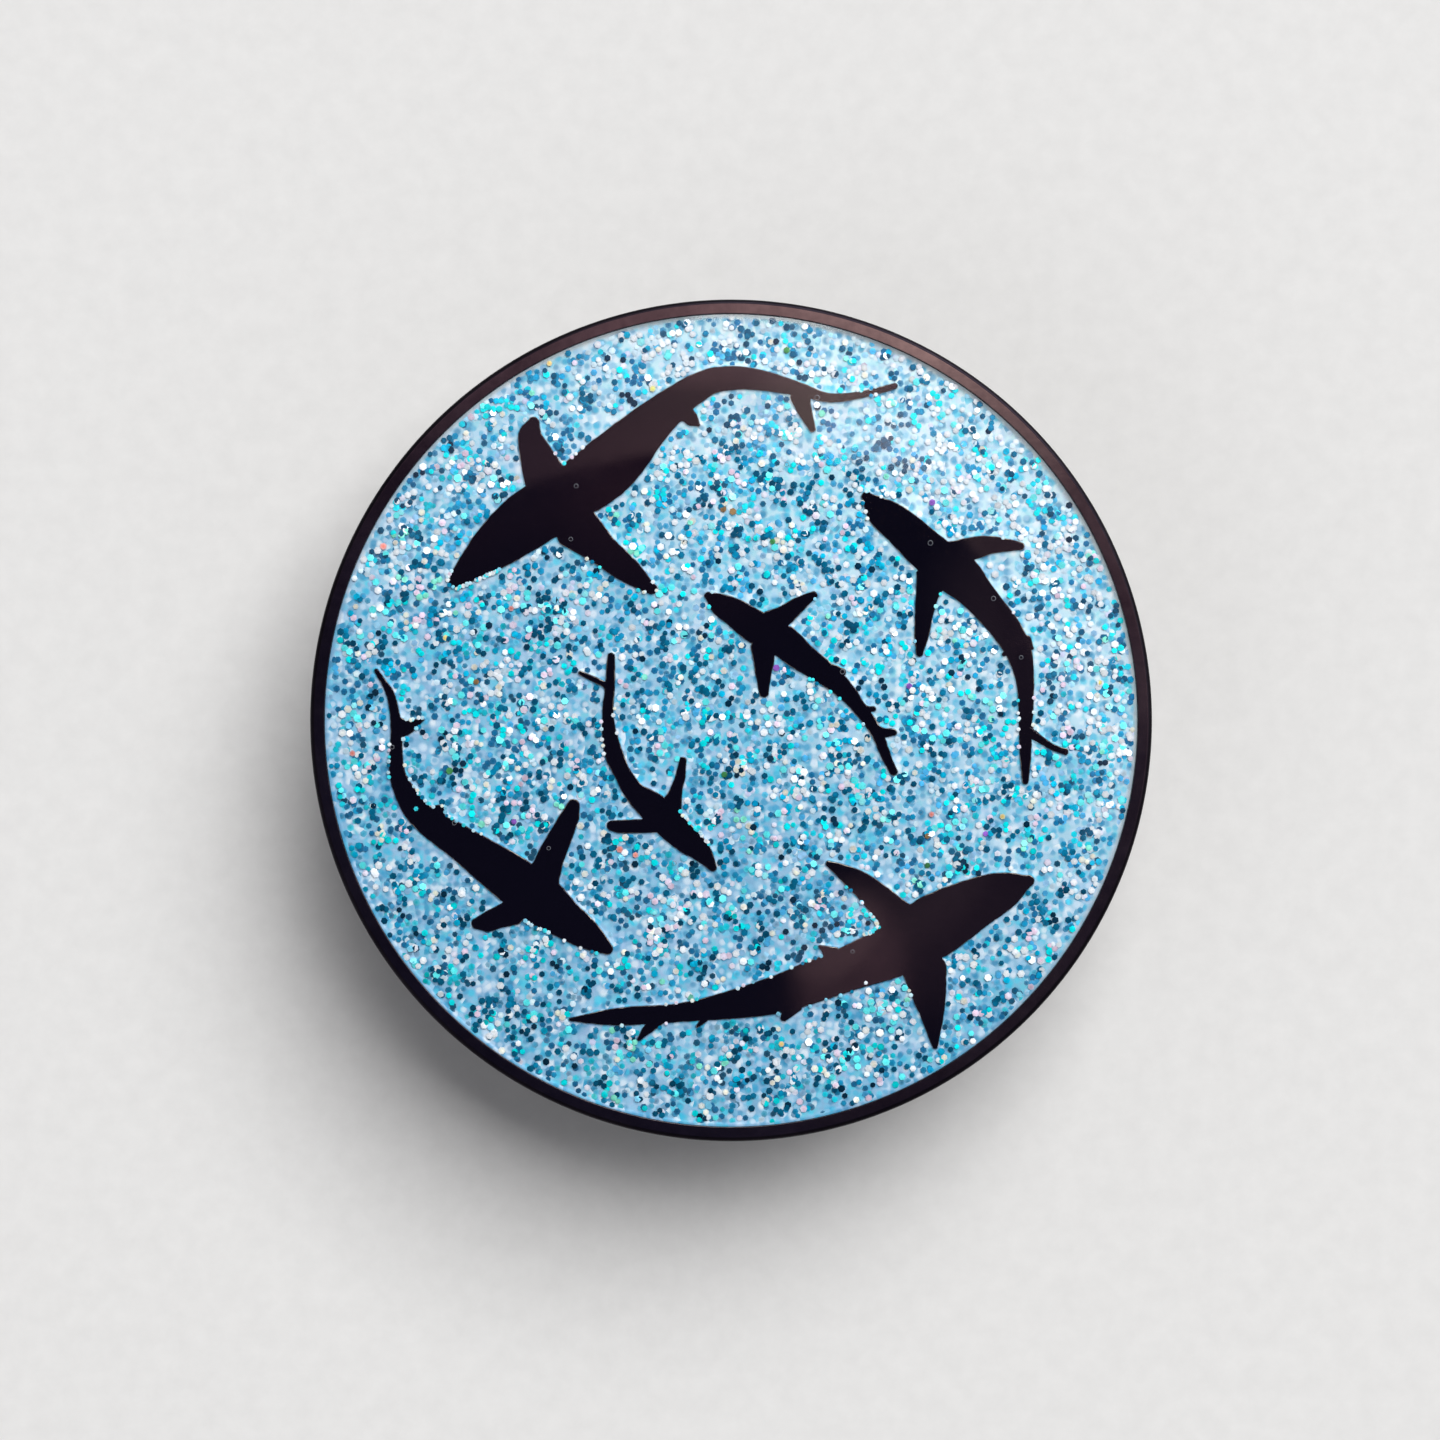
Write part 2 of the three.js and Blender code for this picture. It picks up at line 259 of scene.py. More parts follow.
def sandblasted_back():
    """The back's sunken field: the same plating over a fine blasted grain."""
    s = Shader("black_nickel_blasted")
    grain = s.noise(5200, 3, 0.6)
    patch = s.noise(220, 3, 0.5)
    return s.principled({
        "Base Color": s.mix(s.ramp(patch, (0.35, 0.0), (0.65, 1.0)),
                            (0.055, 0.047, 0.052), (0.085, 0.072, 0.078)),
        "Metallic": 1.0,
        "Roughness": s.ramp(grain, (0.3, 0.34), (0.7, 0.55)),
        "Normal": s.bump(grain, 0.02 * MM, 0.6),
    })


def enamel_bed():
    """Milky pale blue enamel, with blurred flakes showing from deep inside.

    It is painted paler and milkier towards the key light and darker away from it (painted light and
    shade), over random clouds, and along the rim it has a painted shade band on the far side and a
    painted pale band of light on the lit side.
    """
    s = Shader("enamel_bed")
    cloud = s.noise(420, 4, 0.6)
    clear = s.ramp(cloud, (0.25, (0.13, 0.34, 0.55)), (0.5, (0.2, 0.41, 0.61)),
                   (0.78, (0.31, 0.51, 0.69)))
    lit_milky = s.ramp(cloud, (0.25, (0.52, 0.8, 0.85)), (0.5, (0.64, 0.87, 0.9)),
                   (0.78, (0.75, 0.91, 0.93)))
    place = s.add("ShaderNodeSeparateXYZ", {"Vector": s.place()})
    # Painted light: how far a point lies towards the key light; the bed's clear-to-milky mix
    # follows it, on top of random clouds.
    along = s.math("ADD", s.math("MULTIPLY", place.outputs["X"], LIGHT_WAY[0]),
                   s.math("MULTIPLY", place.outputs["Y"], LIGHT_WAY[1]))
    lit_and_cloudy = s.math("ADD", s.math("MULTIPLY", along, 0.5 / RECESS_R),
                    s.math("MULTIPLY", s.noise(130, 3, 0.6), 0.3))
    base = s.mix(s.ramp(lit_and_cloudy, (0.0, 0.12), (0.15, 0.36), (0.62, 1.0)), clear, lit_milky)
    base = s.mix(s.ramp(s.noise(1100, 3, 0.6), (0.5, 0.0), (0.66, 0.3)), base, (0.5, 0.58, 0.84))
    base = s.mix(s.ramp(s.noise(1400, 3, 0.6), (0.52, 0.0), (0.68, 0.5)), base, (0.06, 0.6, 0.7))
    for scale, share in ((2100.0, 0.75), (2900.0, 0.6)):
        cells = s.add("ShaderNodeTexVoronoi", {"Vector": s.place(), "Scale": scale},
                      voronoi_dimensions="2D")
        pick = s.add("ShaderNodeSeparateColor", {"Color": cells.outputs["Color"]}).outputs["Red"]
        tint = s.ramp(pick, (0.0, (0.01, 0.2, 0.38)), (0.24, (0.04, 0.36, 0.6)),
                      (0.42, (0.05, 0.6, 0.78)), (0.55, (0.24, 0.52, 0.72)),
                      (0.78, (0.6, 0.74, 0.86)), (1.0, (0.9, 0.92, 0.92)))
        blur = s.ramp(cells.outputs["Distance"], (0.22, share), (0.54, 0.0))
        base = s.mix(blur, base, tint)
    flat = s.add("ShaderNodeCombineXYZ", {"X": place.outputs["X"], "Y": place.outputs["Y"]})
    out = s.add("ShaderNodeVectorMath", {0: flat.outputs[0]}, operation="LENGTH").outputs["Value"]
    shore = s.math("MULTIPLY", s.math("SUBTRACT", out, RECESS_R - SHORE), 1 / SHORE)
    # Painted shade and light along the rim: a dark band on the side away from the key light, a pale
    # band on the lit side.
    lit = s.ramp(s.math("ADD", s.math("MULTIPLY", along, 0.5 / RECESS_R), 0.5),
                 (0.3, 0.0), (0.75, 1.0))
    dark = s.mix(s.ramp(shore, (0.1, 0.0), (0.9, 0.6)), base, (0.05, 0.2, 0.36))
    pale = s.mix(s.ramp(shore, (0.1, 0.0), (0.7, 0.75)), base, (0.86, 0.9, 0.88))
    base = s.mix(lit, dark, pale)
    return s.principled({
        "Base Color": base,
        "Metallic": 0.12,
        "Specular IOR Level": 0.05,
        "Roughness": s.ramp(cloud, (0.3, 0.4), (0.7, 0.5)),
        "Normal": s.bump(cloud, 0.02 * MM, 0.3),
    })


def foil(name, metallic, rough):
    """Glitter film: each flake's own tint, with a faint grain. Resin over it takes its gloss."""
    s = Shader(name)
    # The tint attribute holds each flake's own colour with painted light laid on it: lighter
    # towards the key light's side.
    tint = s.add("ShaderNodeAttribute", attribute_name="tint").outputs["Color"]
    grain = s.noise(3800, 2, 0.5)
    return s.principled({
        "Base Color": s.mix(0.16, tint, s.ramp(grain, (0.3, 0.45), (0.7, 1.0)), "MULTIPLY"),
        "Metallic": metallic,
        "Specular IOR Level": 0.04,
        "Roughness": s.ramp(grain, (0.3, rough), (0.7, rough + 0.12)),
    })


def clear_coat():
    """Clear epoxy seen from above: what is under it, and a sharp Fresnel reflection."""
    s = Shader("clear_epoxy")
    ripple = s.bump(s.noise(110, 2, 0.5), 0.03 * MM, 0.25)
    mirror = s.add("ShaderNodeFresnel", {"IOR": 1.5, "Normal": ripple}).outputs["Fac"]
    outward = s.math("SUBTRACT", 1.0, s.add("ShaderNodeNewGeometry").outputs["Backfacing"])
    edge = s.math("MULTIPLY", mirror, outward)
    haze = s.noise(700, 4, 0.6)
    rough = s.ramp(haze, (0.35, 0.03), (0.8, 0.09))
    gloss = s.add("ShaderNodeBsdfGlossy", {"Roughness": rough, "Normal": ripple})
    clear = s.add("ShaderNodeBsdfTransparent", {"Color": (0.97, 0.985, 1.0, 1)})
    both = s.add("ShaderNodeMixShader", {0: edge, 1: clear.outputs[0], 2: gloss.outputs[0]})
    return s.finish(both.outputs[0])


def bonded_face():
    """The epoxy's underside: it has no reflection of its own, as it is bonded to the enamel."""
    s = Shader("epoxy_bond")
    drift = s.ramp(s.noise(500, 2, 0.5), (0.0, (0.98, 0.99, 1.0)), (1.0, (1.0, 1.0, 1.0)))
    return s.finish(s.add("ShaderNodeBsdfTransparent", {"Color": drift}).outputs[0])


def bubble_painted_ring():
    """An air bubble: a thin grey ring round a clear middle; the ring is a painted reflection of the
    bubble's edge.
    """
    s = Shader("bubble_painted_ring")
    # Painted reflection: a grey diffuse ring where the bubble's wall is seen edge-on.
    rim = s.add("ShaderNodeLayerWeight", {"Blend": 0.35}).outputs["Facing"]
    mottle = s.noise(9000, 2, 0.5)
    grey = s.ramp(mottle, (0.3, (0.22, 0.23, 0.26)), (0.7, (0.4, 0.41, 0.44)))
    pale = s.add("ShaderNodeBsdfDiffuse", {"Color": grey})
    clear = s.add("ShaderNodeBsdfTransparent")
    share = s.ramp(rim, (0.18, 0.0), (0.48, 0.75))
    both = s.add("ShaderNodeMixShader", {0: share, 1: clear.outputs[0], 2: pale.outputs[0]})
    return s.finish(both.outputs[0])


NICKEL = plated_metal("black_nickel", (0.074, 0.062, 0.066), (0.138, 0.117, 0.118), (0.1, 0.18), 60)
# A darker copy of the black nickel for the side and recess: painted shade, dark enough that the
# side shows no highlight.
SHADED_NICKEL = plated_metal("black_nickel_painted_shade", (0.009, 0.007, 0.011), (0.016, 0.013, 0.018),
                    (0.36, 0.5), 200)
MOTIF = plated_metal("black_nickel_motif", (0.042, 0.035, 0.038), (0.055, 0.045, 0.048),
                     (0.03, 0.07), 45)
WORN = worn_edge()
BLASTED = sandblasted_back()
POSTS = plated_metal("post_plating", (0.12, 0.11, 0.115), (0.17, 0.155, 0.16), (0.18, 0.32), 300)
CLUTCH = plated_metal("clutch_nickel", (0.62, 0.6, 0.57), (0.76, 0.74, 0.7), (0.12, 0.28), 200)
SPRING = plated_metal("spring_nickel", (0.56, 0.53, 0.49), (0.68, 0.65, 0.6), (0.2, 0.38), 260,
                      0.004 * MM)
ENAMEL = enamel_bed()
FOIL_DEEP = foil("glitter_film_deep", 0.12, 0.4)
FOIL_TOP = foil("glitter_film_top", 0.15, 0.32)
FOIL_SPARK = foil("glitter_film_bright", 0.2, 0.22)
EPOXY = clear_coat()
BOND = bonded_face()
BUBBLE = bubble_painted_ring()

# ---- Outlines of the sharks -------------------------------------------------------------


def motif_loops():
    """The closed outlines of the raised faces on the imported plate, as lists of (x, y)."""
    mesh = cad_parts["base_plate"].data
    step, flat_within = 0.0002 * MM, 0.005 * MM  # for welding, and for finding the tops
    where = [tuple(round(c / step) for c in v.co) for v in mesh.vertices]
    edges = set()
    for face in mesh.polygons:
        if face.normal.z > 0.99 and abs(face.center.z - MOTIF_Z) < flat_within:
            ids = [where[i] for i in face.vertices]
            edges.update(zip(ids, ids[1:] + ids[:1]))
    follow = {a: b for a, b in edges if (b, a) not in edges}
    loops = []
    for start in sorted(follow):
        if start not in follow:
            continue
        loop, at = [], start
        while at in follow:
            loop.append(Vector((at[0] * step, at[1] * step)))
            at = follow.pop(at)
        loops.append(loop)
    return [loop for loop in loops if len(loop) > 8]


def softened(loop, rounds=2):
    """A flowing line through the outline's corners (the four-point scheme), with full tips."""
    for _ in range(rounds):
        n = len(loop)
        fine = []
        for i, point in enumerate(loop):
            beyond, after = loop[(i + 2) % n], loop[(i + 1) % n]
            swell = (point + after) / 2 - (loop[i - 1] + beyond) / 2
            fine += [point, (point + after) / 2 + swell / 8]
        loop = fine
    return loop


def spaced(loop, shortest=0.03 * MM):
    """The loop without points that crowd each other."""
    kept = [loop[0]]
    for point in loop[1:]:
        if (point - kept[-1]).length > shortest:
            kept.append(point)
    return kept


def offset(loop, distance):
    """The loop moved sideways, to its right by distance (outwards where it runs anticlockwise)."""
    moved = []
    n = len(loop)
    for i, point in enumerate(loop):
        ahead = (loop[(i + 1) % n] - loop[i - 1]).normalized()
        moved.append(point + Vector((ahead.y, -ahead.x)) * distance)
    return moved


def struck(loop):
    """The loop with the slight waver of a cast edge, coarse and fine."""
    spots = [Vector((p.x, p.y, 0)) for p in loop]
    waver = [(noise.noise(p * 2600) * 0.022 + noise.noise(p * 7500) * 0.014) * MM for p in spots]
    outer = offset(loop, 0.01 * MM)
    return [p + (q - p).normalized() * w if (q - p).length else p
            for p, q, w in zip(loop, outer, waver)]


SWELL = 0.015 * MM  # makes up for what the rounding of the outline takes off
OUTLINES = [struck(offset(spaced(softened(loop)), SWELL)) for loop in motif_loops()]
plate_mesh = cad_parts["base_plate"].data
PLATE_TREE = BVHTree.FromPolygons([v.co for v in plate_mesh.vertices],
                                  [p.vertices for p in plate_mesh.polygons])


def over_recess(x, y):
    """True where the plate is sunk, between the sharks and inside the rim."""
    hit = PLATE_TREE.ray_cast(Vector((x, y, RIM_TOP + MM)), Vector((0, 0, -1)))[0]
    return hit is not None and hit.z < MOTIF_Z - 0.1 * MM


# ---- The struck plate -------------------------------------------------------------------


def plate():
    """Back field, border, side, rim and recess floor, turned in one profile."""
    sink, field = 0.1 * MM, 17.2 * MM  # depth and radius of the sunken field on the back
    low, edge, lip, foot = 0.12 * MM, 0.2 * MM, 0.015 * MM, 0.05 * MM  # radii of the roundings
    step, margin = 0.05 * MM, 0.02 * MM
    flat = RECESS_R + lip
    mid_side, rim_flat = (PIN_R, BACK + (RIM_TOP - BACK) * 0.5), (PIN_R - edge - margin, RIM_TOP)
    lip_steps = 4
    profile = [
        (0, BACK + sink),
        (field * 0.5, BACK + sink),
        (field - margin, BACK + sink),
        *arc(field + 2 * margin, BACK + step, step, 180, 270, 4),
        *arc(PIN_R - low, BACK + low, low, 270, 360, 5),
        mid_side,
        *arc(PIN_R - edge, RIM_TOP - edge, edge, 0, 90, 8),
        rim_flat,
        (flat + margin, RIM_TOP),
        *arc(flat, RIM_TOP - lip, lip, 90, 180, lip_steps),
        *arc(RECESS_R - foot, FLOOR_Z + foot, foot, 0, -90, 3),
        (RECESS_R * 0.6, FLOOR_Z),
        (0, FLOOR_Z),
    ]
    flat_from = profile.index(rim_flat)
    side_from = profile.index(mid_side) - 1

    def finish_of(at):
        """0: polished rim and border, 1: blasted field, 2: side and recess, in a darker copy of the
        plating that stands for painted shade.
        """
        if at < 2:
            return 1
        on_side = side_from <= at < flat_from - 1
        in_recess = at > flat_from + lip_steps + 1
        return 2 if on_side or in_recess else 0

    piece = turned("plate", profile, 256, [NICKEL, BLASTED, SHADED_NICKEL], slot_of=finish_of)
    return belongs(piece, "pin", "black_nickel", "base_plate")


def sharks():
    """The raised silhouettes: a flat polished top with a struck, slightly rounded edge."""
    edge = 0.03 * MM
    vertices, faces, flat, slots = [], [], [], []
    for loop in OUTLINES:
        levels = [(0.0, FLOOR_Z - 0.05 * MM), (0.0, MOTIF_Z - edge)]
        levels += [(edge * (1 - math.cos(a)), MOTIF_Z - edge * (1 - math.sin(a)))
                   for a in (math.radians(30), math.radians(60), math.radians(90))]
        start, n = len(vertices), len(loop)
        for inset, z in levels:
            vertices += [(p.x, p.y, z) for p in offset(loop, -inset)]
        for level in range(len(levels) - 1):
            for i in range(n):
                a, b = start + level * n + i, start + level * n + (i + 1) % n
                faces.append((a, b, b + n, a + n))
                slots.append(1 if level else 0)
        top = start + (len(levels) - 1) * n
        flat.append(len(faces))
        faces.append(tuple(range(top, top + n)))
        faces.append(tuple(range(start + n - 1, start - 1, -1)))
        slots += [0, 0]
    piece = mesh_object("sharks", vertices, faces, [MOTIF, WORN], slots, sharp=50)
    for face in flat:
        piece.data.polygons[face].use_smooth = False
    return belongs(piece, "pin", "black_nickel", "base_plate")


# ---- Enamel and glitter -----------------------------------------------------------------

BED_DEPTH = 0.09 * MM  # how far the enamel's opaque bed lies under the metal's top
MENISCUS = 0.09 * MM  # how far it creeps up the sharks, measured sideways
RIM_MENISCUS = 0.2 * MM


def sheet_between(loops, extra=()):
    """Triangles inside the first loop and outside the others, with extra points in between.

    Returns the points as (x, y), the triangles, and the loops as lists of point indices.
    """
    points, edges = [], []
    for loop in loops:
        start = len(points)
        points += loop
        edges += [(start + i, start + (i + 1) % len(loop)) for i in range(len(loop))]
    points += extra
    found = geometry.delaunay_2d_cdt(points, edges, [], 2, 0.0005 * MM)
    spots, triangles, origins = found[0], found[2], found[3]
    new_id = {old: new for new, olds in enumerate(origins) for old in olds}
    rows, start = [], 0
    for loop in loops:
        rows.append([new_id[start + i] for i in range(len(loop))])
        start += len(loop)
    return spots, triangles, rows


def circle(radius, segments):
    """Points of a circle round the origin, anticlockwise."""
    turns = [TAU * i / segments for i in range(segments)]
    return [Vector((math.cos(a), math.sin(a))) * radius for a in turns]


def enamel():
    """The enamel's bed: a sheet round the sharks that creeps up the metal at its edges."""
    top = MOTIF_Z - BED_DEPTH
    crest = MOTIF_Z - 0.03 * MM  # where the enamel meets a shark's side
    gap = 0.012 * MM  # between the enamel and the metal
    scattered, clear_of_edges = 2600, 0.3 * MM  # points that even out the sheet's triangles
    segments = 256
    rng = random.Random(5)
    outer = circle(RECESS_R - gap, segments)
    holes = [offset(loop, gap) for loop in OUTLINES]
    walls = KDTree(sum(len(h) for h in holes))
    for i, p in enumerate(p for h in holes for p in h):
        walls.insert((p.x, p.y, 0), i)
    walls.balance()

    def to_metal(p):
        """Distance from a point to the nearest shark or to the rim."""
        return min(walls.find((p.x, p.y, 0))[2], RECESS_R - gap - p.length)

    shores = []
    for share in (0.3, 0.65, 1.0):
        shores += circle(RECESS_R - gap - RIM_MENISCUS * share, segments)
        for hole in holes:
            ring = offset(hole, MENISCUS * share)
            shores += [p for p in ring if to_metal(p) > 0.8 * MENISCUS * share]
    for _ in range(scattered):
        spot = Vector((rng.uniform(-1, 1), rng.uniform(-1, 1))) * RECESS_R
        if spot.length < RECESS_R - clear_of_edges and to_metal(spot) > clear_of_edges:
            shores.append(spot)
    spots, triangles, rows = sheet_between([outer, *holes], shores)
    at_wall = {i for row in rows for i in row}
    vertices = []
    for i, p in enumerate(spots):
        near = 0.0 if i in at_wall else min(1.0, to_metal(p) / MENISCUS)
        rise = (crest - top) * (1 - near) ** 2
        to_rim = (RECESS_R - gap - p.length) / RIM_MENISCUS
        if to_rim < 1:
            rise = max(rise, (dome_low.z - gap - top) * (1 - to_rim) ** 2)
        vertices.append((p.x, p.y, top + rise))
    faces = [tuple(t) for t in triangles]
    for row in rows:
        start = len(vertices)
        vertices += [(spots[i].x, spots[i].y, FLOOR_Z + gap) for i in row]
        for k in range(len(row)):
            n = (k + 1) % len(row)
            faces.append((row[n], row[k], start + k, start + n))
    piece = mesh_object("enamel_bed", vertices, faces, [ENAMEL], sharp=60)
    face_outwards(piece)
    return belongs(piece, "pin", "glitter_enamel", "glitter_enamel")


# Glitter colours (linear) with how common each is in its layer.
DEEP_TINTS = [
    (16, (0.05, 0.38, 0.62)), (15, (0.06, 0.52, 0.76)), (12, (0.3, 0.6, 0.8)),
    (12, (0.24, 0.47, 0.7)), (18, (0.01, 0.26, 0.48)), (9, (0.6, 0.76, 0.86)),
    (9, (0.005, 0.18, 0.35)), (8, (0.01, 0.62, 0.76)), (3, (0.6, 0.6, 0.8)),
]
MIDDLE_TINTS = [
    (24, (0.0, 0.14, 0.31)), (23, (0.0, 0.27, 0.5)), (17, (0.0, 0.6, 0.74)),
    (12, (0.64, 0.8, 0.88)), (8, (0.0, 0.08, 0.16)), (5, (0.76, 0.72, 0.82)),
    (10, (0.06, 0.42, 0.76)),
]
TOP_TINTS = [
    (27, (0.0, 0.078, 0.155)), (25, (0.0, 0.145, 0.27)), (6, (0.0, 0.028, 0.06)),
    (8, (0.0, 0.26, 0.47)), (11, (0.0, 0.8, 0.84)), (9, (0.0, 0.46, 0.72)),
    (11, (0.92, 0.97, 0.98)), (5, (0.96, 0.64, 0.78)), (4, (0.98, 0.87, 0.66)),
    (2, (0.25, 0.88, 0.66)),
]
# Spark colours: white and cyan flakes, partly the flakes' own colour and partly painted glints.
SPARK_TINTS = [
    (40, (1.0, 1.0, 1.0)), (22, (0.1, 0.98, 1.0)), (13, (1.0, 0.7, 0.84)), (13, (1.0, 0.9, 0.72)),
    (8, (0.22, 0.72, 1.0)),
]
EDGE_TINTS = [
    (22, (0.62, 0.9, 1.0)), (20, (0.05, 0.8, 0.9)), (14, (0.28, 0.72, 0.93)),
    (18, (1.0, 1.0, 0.97)), (12, (1.0, 0.9, 0.66)), (7, (1.0, 0.74, 0.86)),
    (10, (0.0, 0.22, 0.4)),
]
RARE_TINTS = [
    (0.9, 0.2, 0.12), (0.06, 0.26, 0.08), (0.95, 0.6, 0.12), (0.3, 0.18, 0.08), (0.3, 0.12, 0.55),
]

# Painted light: towards the key light's side, white and milky flakes are picked more often and
# blue, dark, pink and cream ones less, so that side reads paler.
TOWARD_LIGHT = Vector(LIGHT_WAY) / RECESS_R
LIT_PALE_GAIN, LIT_DARK_CUT = 0.35, 0.75  # how strongly, as a share at the rim
LIT_GAIN = 0.28  # how much lighter the flakes are painted on the key light's side (painted light)
MILK = (0.42, 0.64, 0.79)
SOFT = 0.4  # how far the corners of the pale flakes fade into the enamel
PALE = 0.5  # the least red in a pale flake's colour
LOOSE = 3  # clumps wider than this many radii are loose, and of mixed colours
HEX = 6  # corners of a flake


def is_whitish(tint):
    """True for white and milky colours, which have about as much green and blue as red."""
    return tint[0] > 0.25 and min(tint[1:]) > tint[0] - 0.02


def flakes(name, count, lowest, highest, tilt, tints, material, seed, where="recess",
           radius=0.15 * MM, clump=0.24, apart=2.4, veil=0.0, bright=1.0):
    """Hexagonal flakes, slightly thicker in the middle, some of them in clumps.

    Their middles lie between two heights. They lie in the recess, on its edge or on the metal.
    Clumps are of one colour, unless they are loose. A veil fades the corners towards the milky
    enamel, as on a flake that sinks in at its edge. Pale flakes have a veil of their own.
    """
    rng = random.Random(seed)
    belly = 0.006 * MM
    ceiling = dome_low.z - 0.004 * MM
    vertices, faces, colours = [], [], []
    choices = [c for _, c in tints]
    placed = 0
    near = None
    while placed < count:
        if near and rng.random() < clump:
            bearing, away = rng.uniform(0, TAU), radius * rng.uniform(1.5, apart)
            x, y = near[0] + away * math.cos(bearing), near[1] + away * math.sin(bearing)
            colour = near[2] if apart < LOOSE else rng.choices(choices, [w for w, _ in tints])[0]
        else:
            distance, bearing = RECESS_R * math.sqrt(rng.random()), rng.uniform(0, TAU)
            x, y = distance * math.cos(bearing), distance * math.sin(bearing)
            # Painted light: the pick of colours leans paler towards the key light's side.
            drift = TOWARD_LIGHT.dot((x, y))
            weights = [w * (1 + LIT_PALE_GAIN * drift if is_whitish(c) else 1 - LIT_DARK_CUT * drift)
                       for w, c in tints]
            colour = rng.choices(choices, weights)[0]
        size = radius * rng.uniform(0.82, 1.12)
        if math.hypot(x, y) + size > RECESS_R:
            continue
        reach = size * (0.75 if where == "edge" else 1.0)
        probes = [(x + reach * math.cos(TAU * k / HEX), y + reach * math.sin(TAU * k / HEX))
                  for k in range(HEX)]
        sunk = [over_recess(*p) for p in [(x, y), *probes]]
        fits = {"recess": all(sunk), "edge": sunk[0] and not all(sunk), "metal": not any(sunk)}
        if not fits[where]:
            continue
        placed += 1
        near = (x, y, colour)
        z = rng.uniform(lowest, highest)
        lean = Matrix.Rotation(rng.gauss(0, tilt), 3, "X")
        lean = lean @ Matrix.Rotation(rng.gauss(0, tilt), 3, "Y")
        turn = lean @ Matrix.Rotation(rng.uniform(0, TAU), 3, "Z")
        pale = colour[0] > PALE
        # Painted light and shade: each flake is coloured lighter towards the key light and darker
        # away from it; pale flakes only get lighter. The random factor is real tone.
        light_side = max(TOWARD_LIGHT.dot((x, y)), 0.0 if pale else -1.0)
        tone_and_light = rng.uniform(0.75, 1.2) * (1 + LIT_GAIN * light_side)
        start = len(vertices)
        shape = [Vector((size * math.cos(TAU * k / HEX), size * math.sin(TAU * k / HEX), 0))
                 for k in range(HEX)]
        for corner in [*shape, Vector((0, 0, belly)), Vector((0, 0, -belly))]:
            corner = turn @ corner
            vertices.append((x + corner.x, y + corner.y, min(z + corner.z, ceiling)))
        for k in range(HEX):
            n = (k + 1) % HEX
            faces.append((start + k, start + n, start + HEX))
            faces.append((start + n, start + k, start + HEX + 1))
        for spot in range(HEX + 2):
            mottle = bright * tone_and_light * rng.uniform(0.7, 1.3)
            share = 0.0 if spot >= HEX else SOFT if pale else veil
            tint = [min(1.0, c * mottle) * (1 - share) + m * share for c, m in zip(colour, MILK)]
            colours.append((*tint, 1.0))
    piece = mesh_object(name, vertices, faces, [material], sharp=1)
    layer = piece.data.color_attributes.new("tint", "FLOAT_COLOR", "POINT")
    layer.data.foreach_set("color", [c for colour in colours for c in colour])
    return belongs(piece, "pin", "glitter_enamel", "glitter_enamel")


def glitter():
    """Layers of flakes in the enamel, from deep to bright, and a few on the metal's edges."""
    bed, top = MOTIF_Z - BED_DEPTH, MOTIF_Z
    um = 0.001 * MM
    flakes("glitter_deep", 3000, bed + 4 * um, bed + 15 * um, 0.03, DEEP_TINTS, FOIL_DEEP, 11,
           veil=0.25)
    flakes("glitter_middle", 3000, bed + 20 * um, bed + 40 * um, 0.06, MIDDLE_TINTS, FOIL_DEEP, 12,
           veil=0.06)
    flakes("glitter_top", 2800, bed + 50 * um, top - 10 * um, 0.07, TOP_TINTS, FOIL_TOP, 13)
    # The spark flakes, made brighter by bright=1.3, are partly white flakes and partly painted
    # glints.
    flakes("glitter_sparks", 1160, bed + 45 * um, top - 10 * um, 0.12, SPARK_TINTS, FOIL_SPARK, 15,
           radius=0.17 * MM, clump=0.6, apart=6, veil=0.15, bright=1.3)
    flakes("glitter_edge", 210, top + 8 * um, top + 16 * um, 0.02, EDGE_TINTS, FOIL_TOP, 16, "edge",
           radius=0.1 * MM, clump=0.6, apart=9)
    flakes("glitter_stray", 2, top + 8 * um, top + 12 * um, 0.02, EDGE_TINTS, FOIL_TOP, 18, "metal",
           radius=0.1 * MM, clump=0)
    rare = [(1, tint) for tint in RARE_TINTS]
    flakes("glitter_rare", 26, top - 20 * um, top, 0.06, rare, FOIL_TOP, 14, clump=0)


# ---- Epoxy coat -------------------------------------------------------------------------


def coat():
    """Clear coat: flat in the middle, falling away to the rim."""
    edge_z = RIM_TOP - 0.01 * MM
    rise = dome_high.z - edge_z
    rings, crowding = 40, 1.6  # the rings crowd towards the edge, where the coat curves most
    shoulder = 6  # as in the CAD dome: the higher, the later the coat falls away
    profile = [(0, dome_low.z), (dome_high.x, dome_low.z)]
    for i in range(rings + 1):
        r = dome_high.x * (1 - (i / rings) ** crowding)
        profile.append((r, edge_z + rise * (1 - (r / dome_high.x) ** shoulder)))
    piece = turned("epoxy_coat", profile, 192, [EPOXY, BOND], slot_of=lambda at: 1 if at < 2 else 0)
    return belongs(piece, "pin", "clear_epoxy", "epoxy_dome")


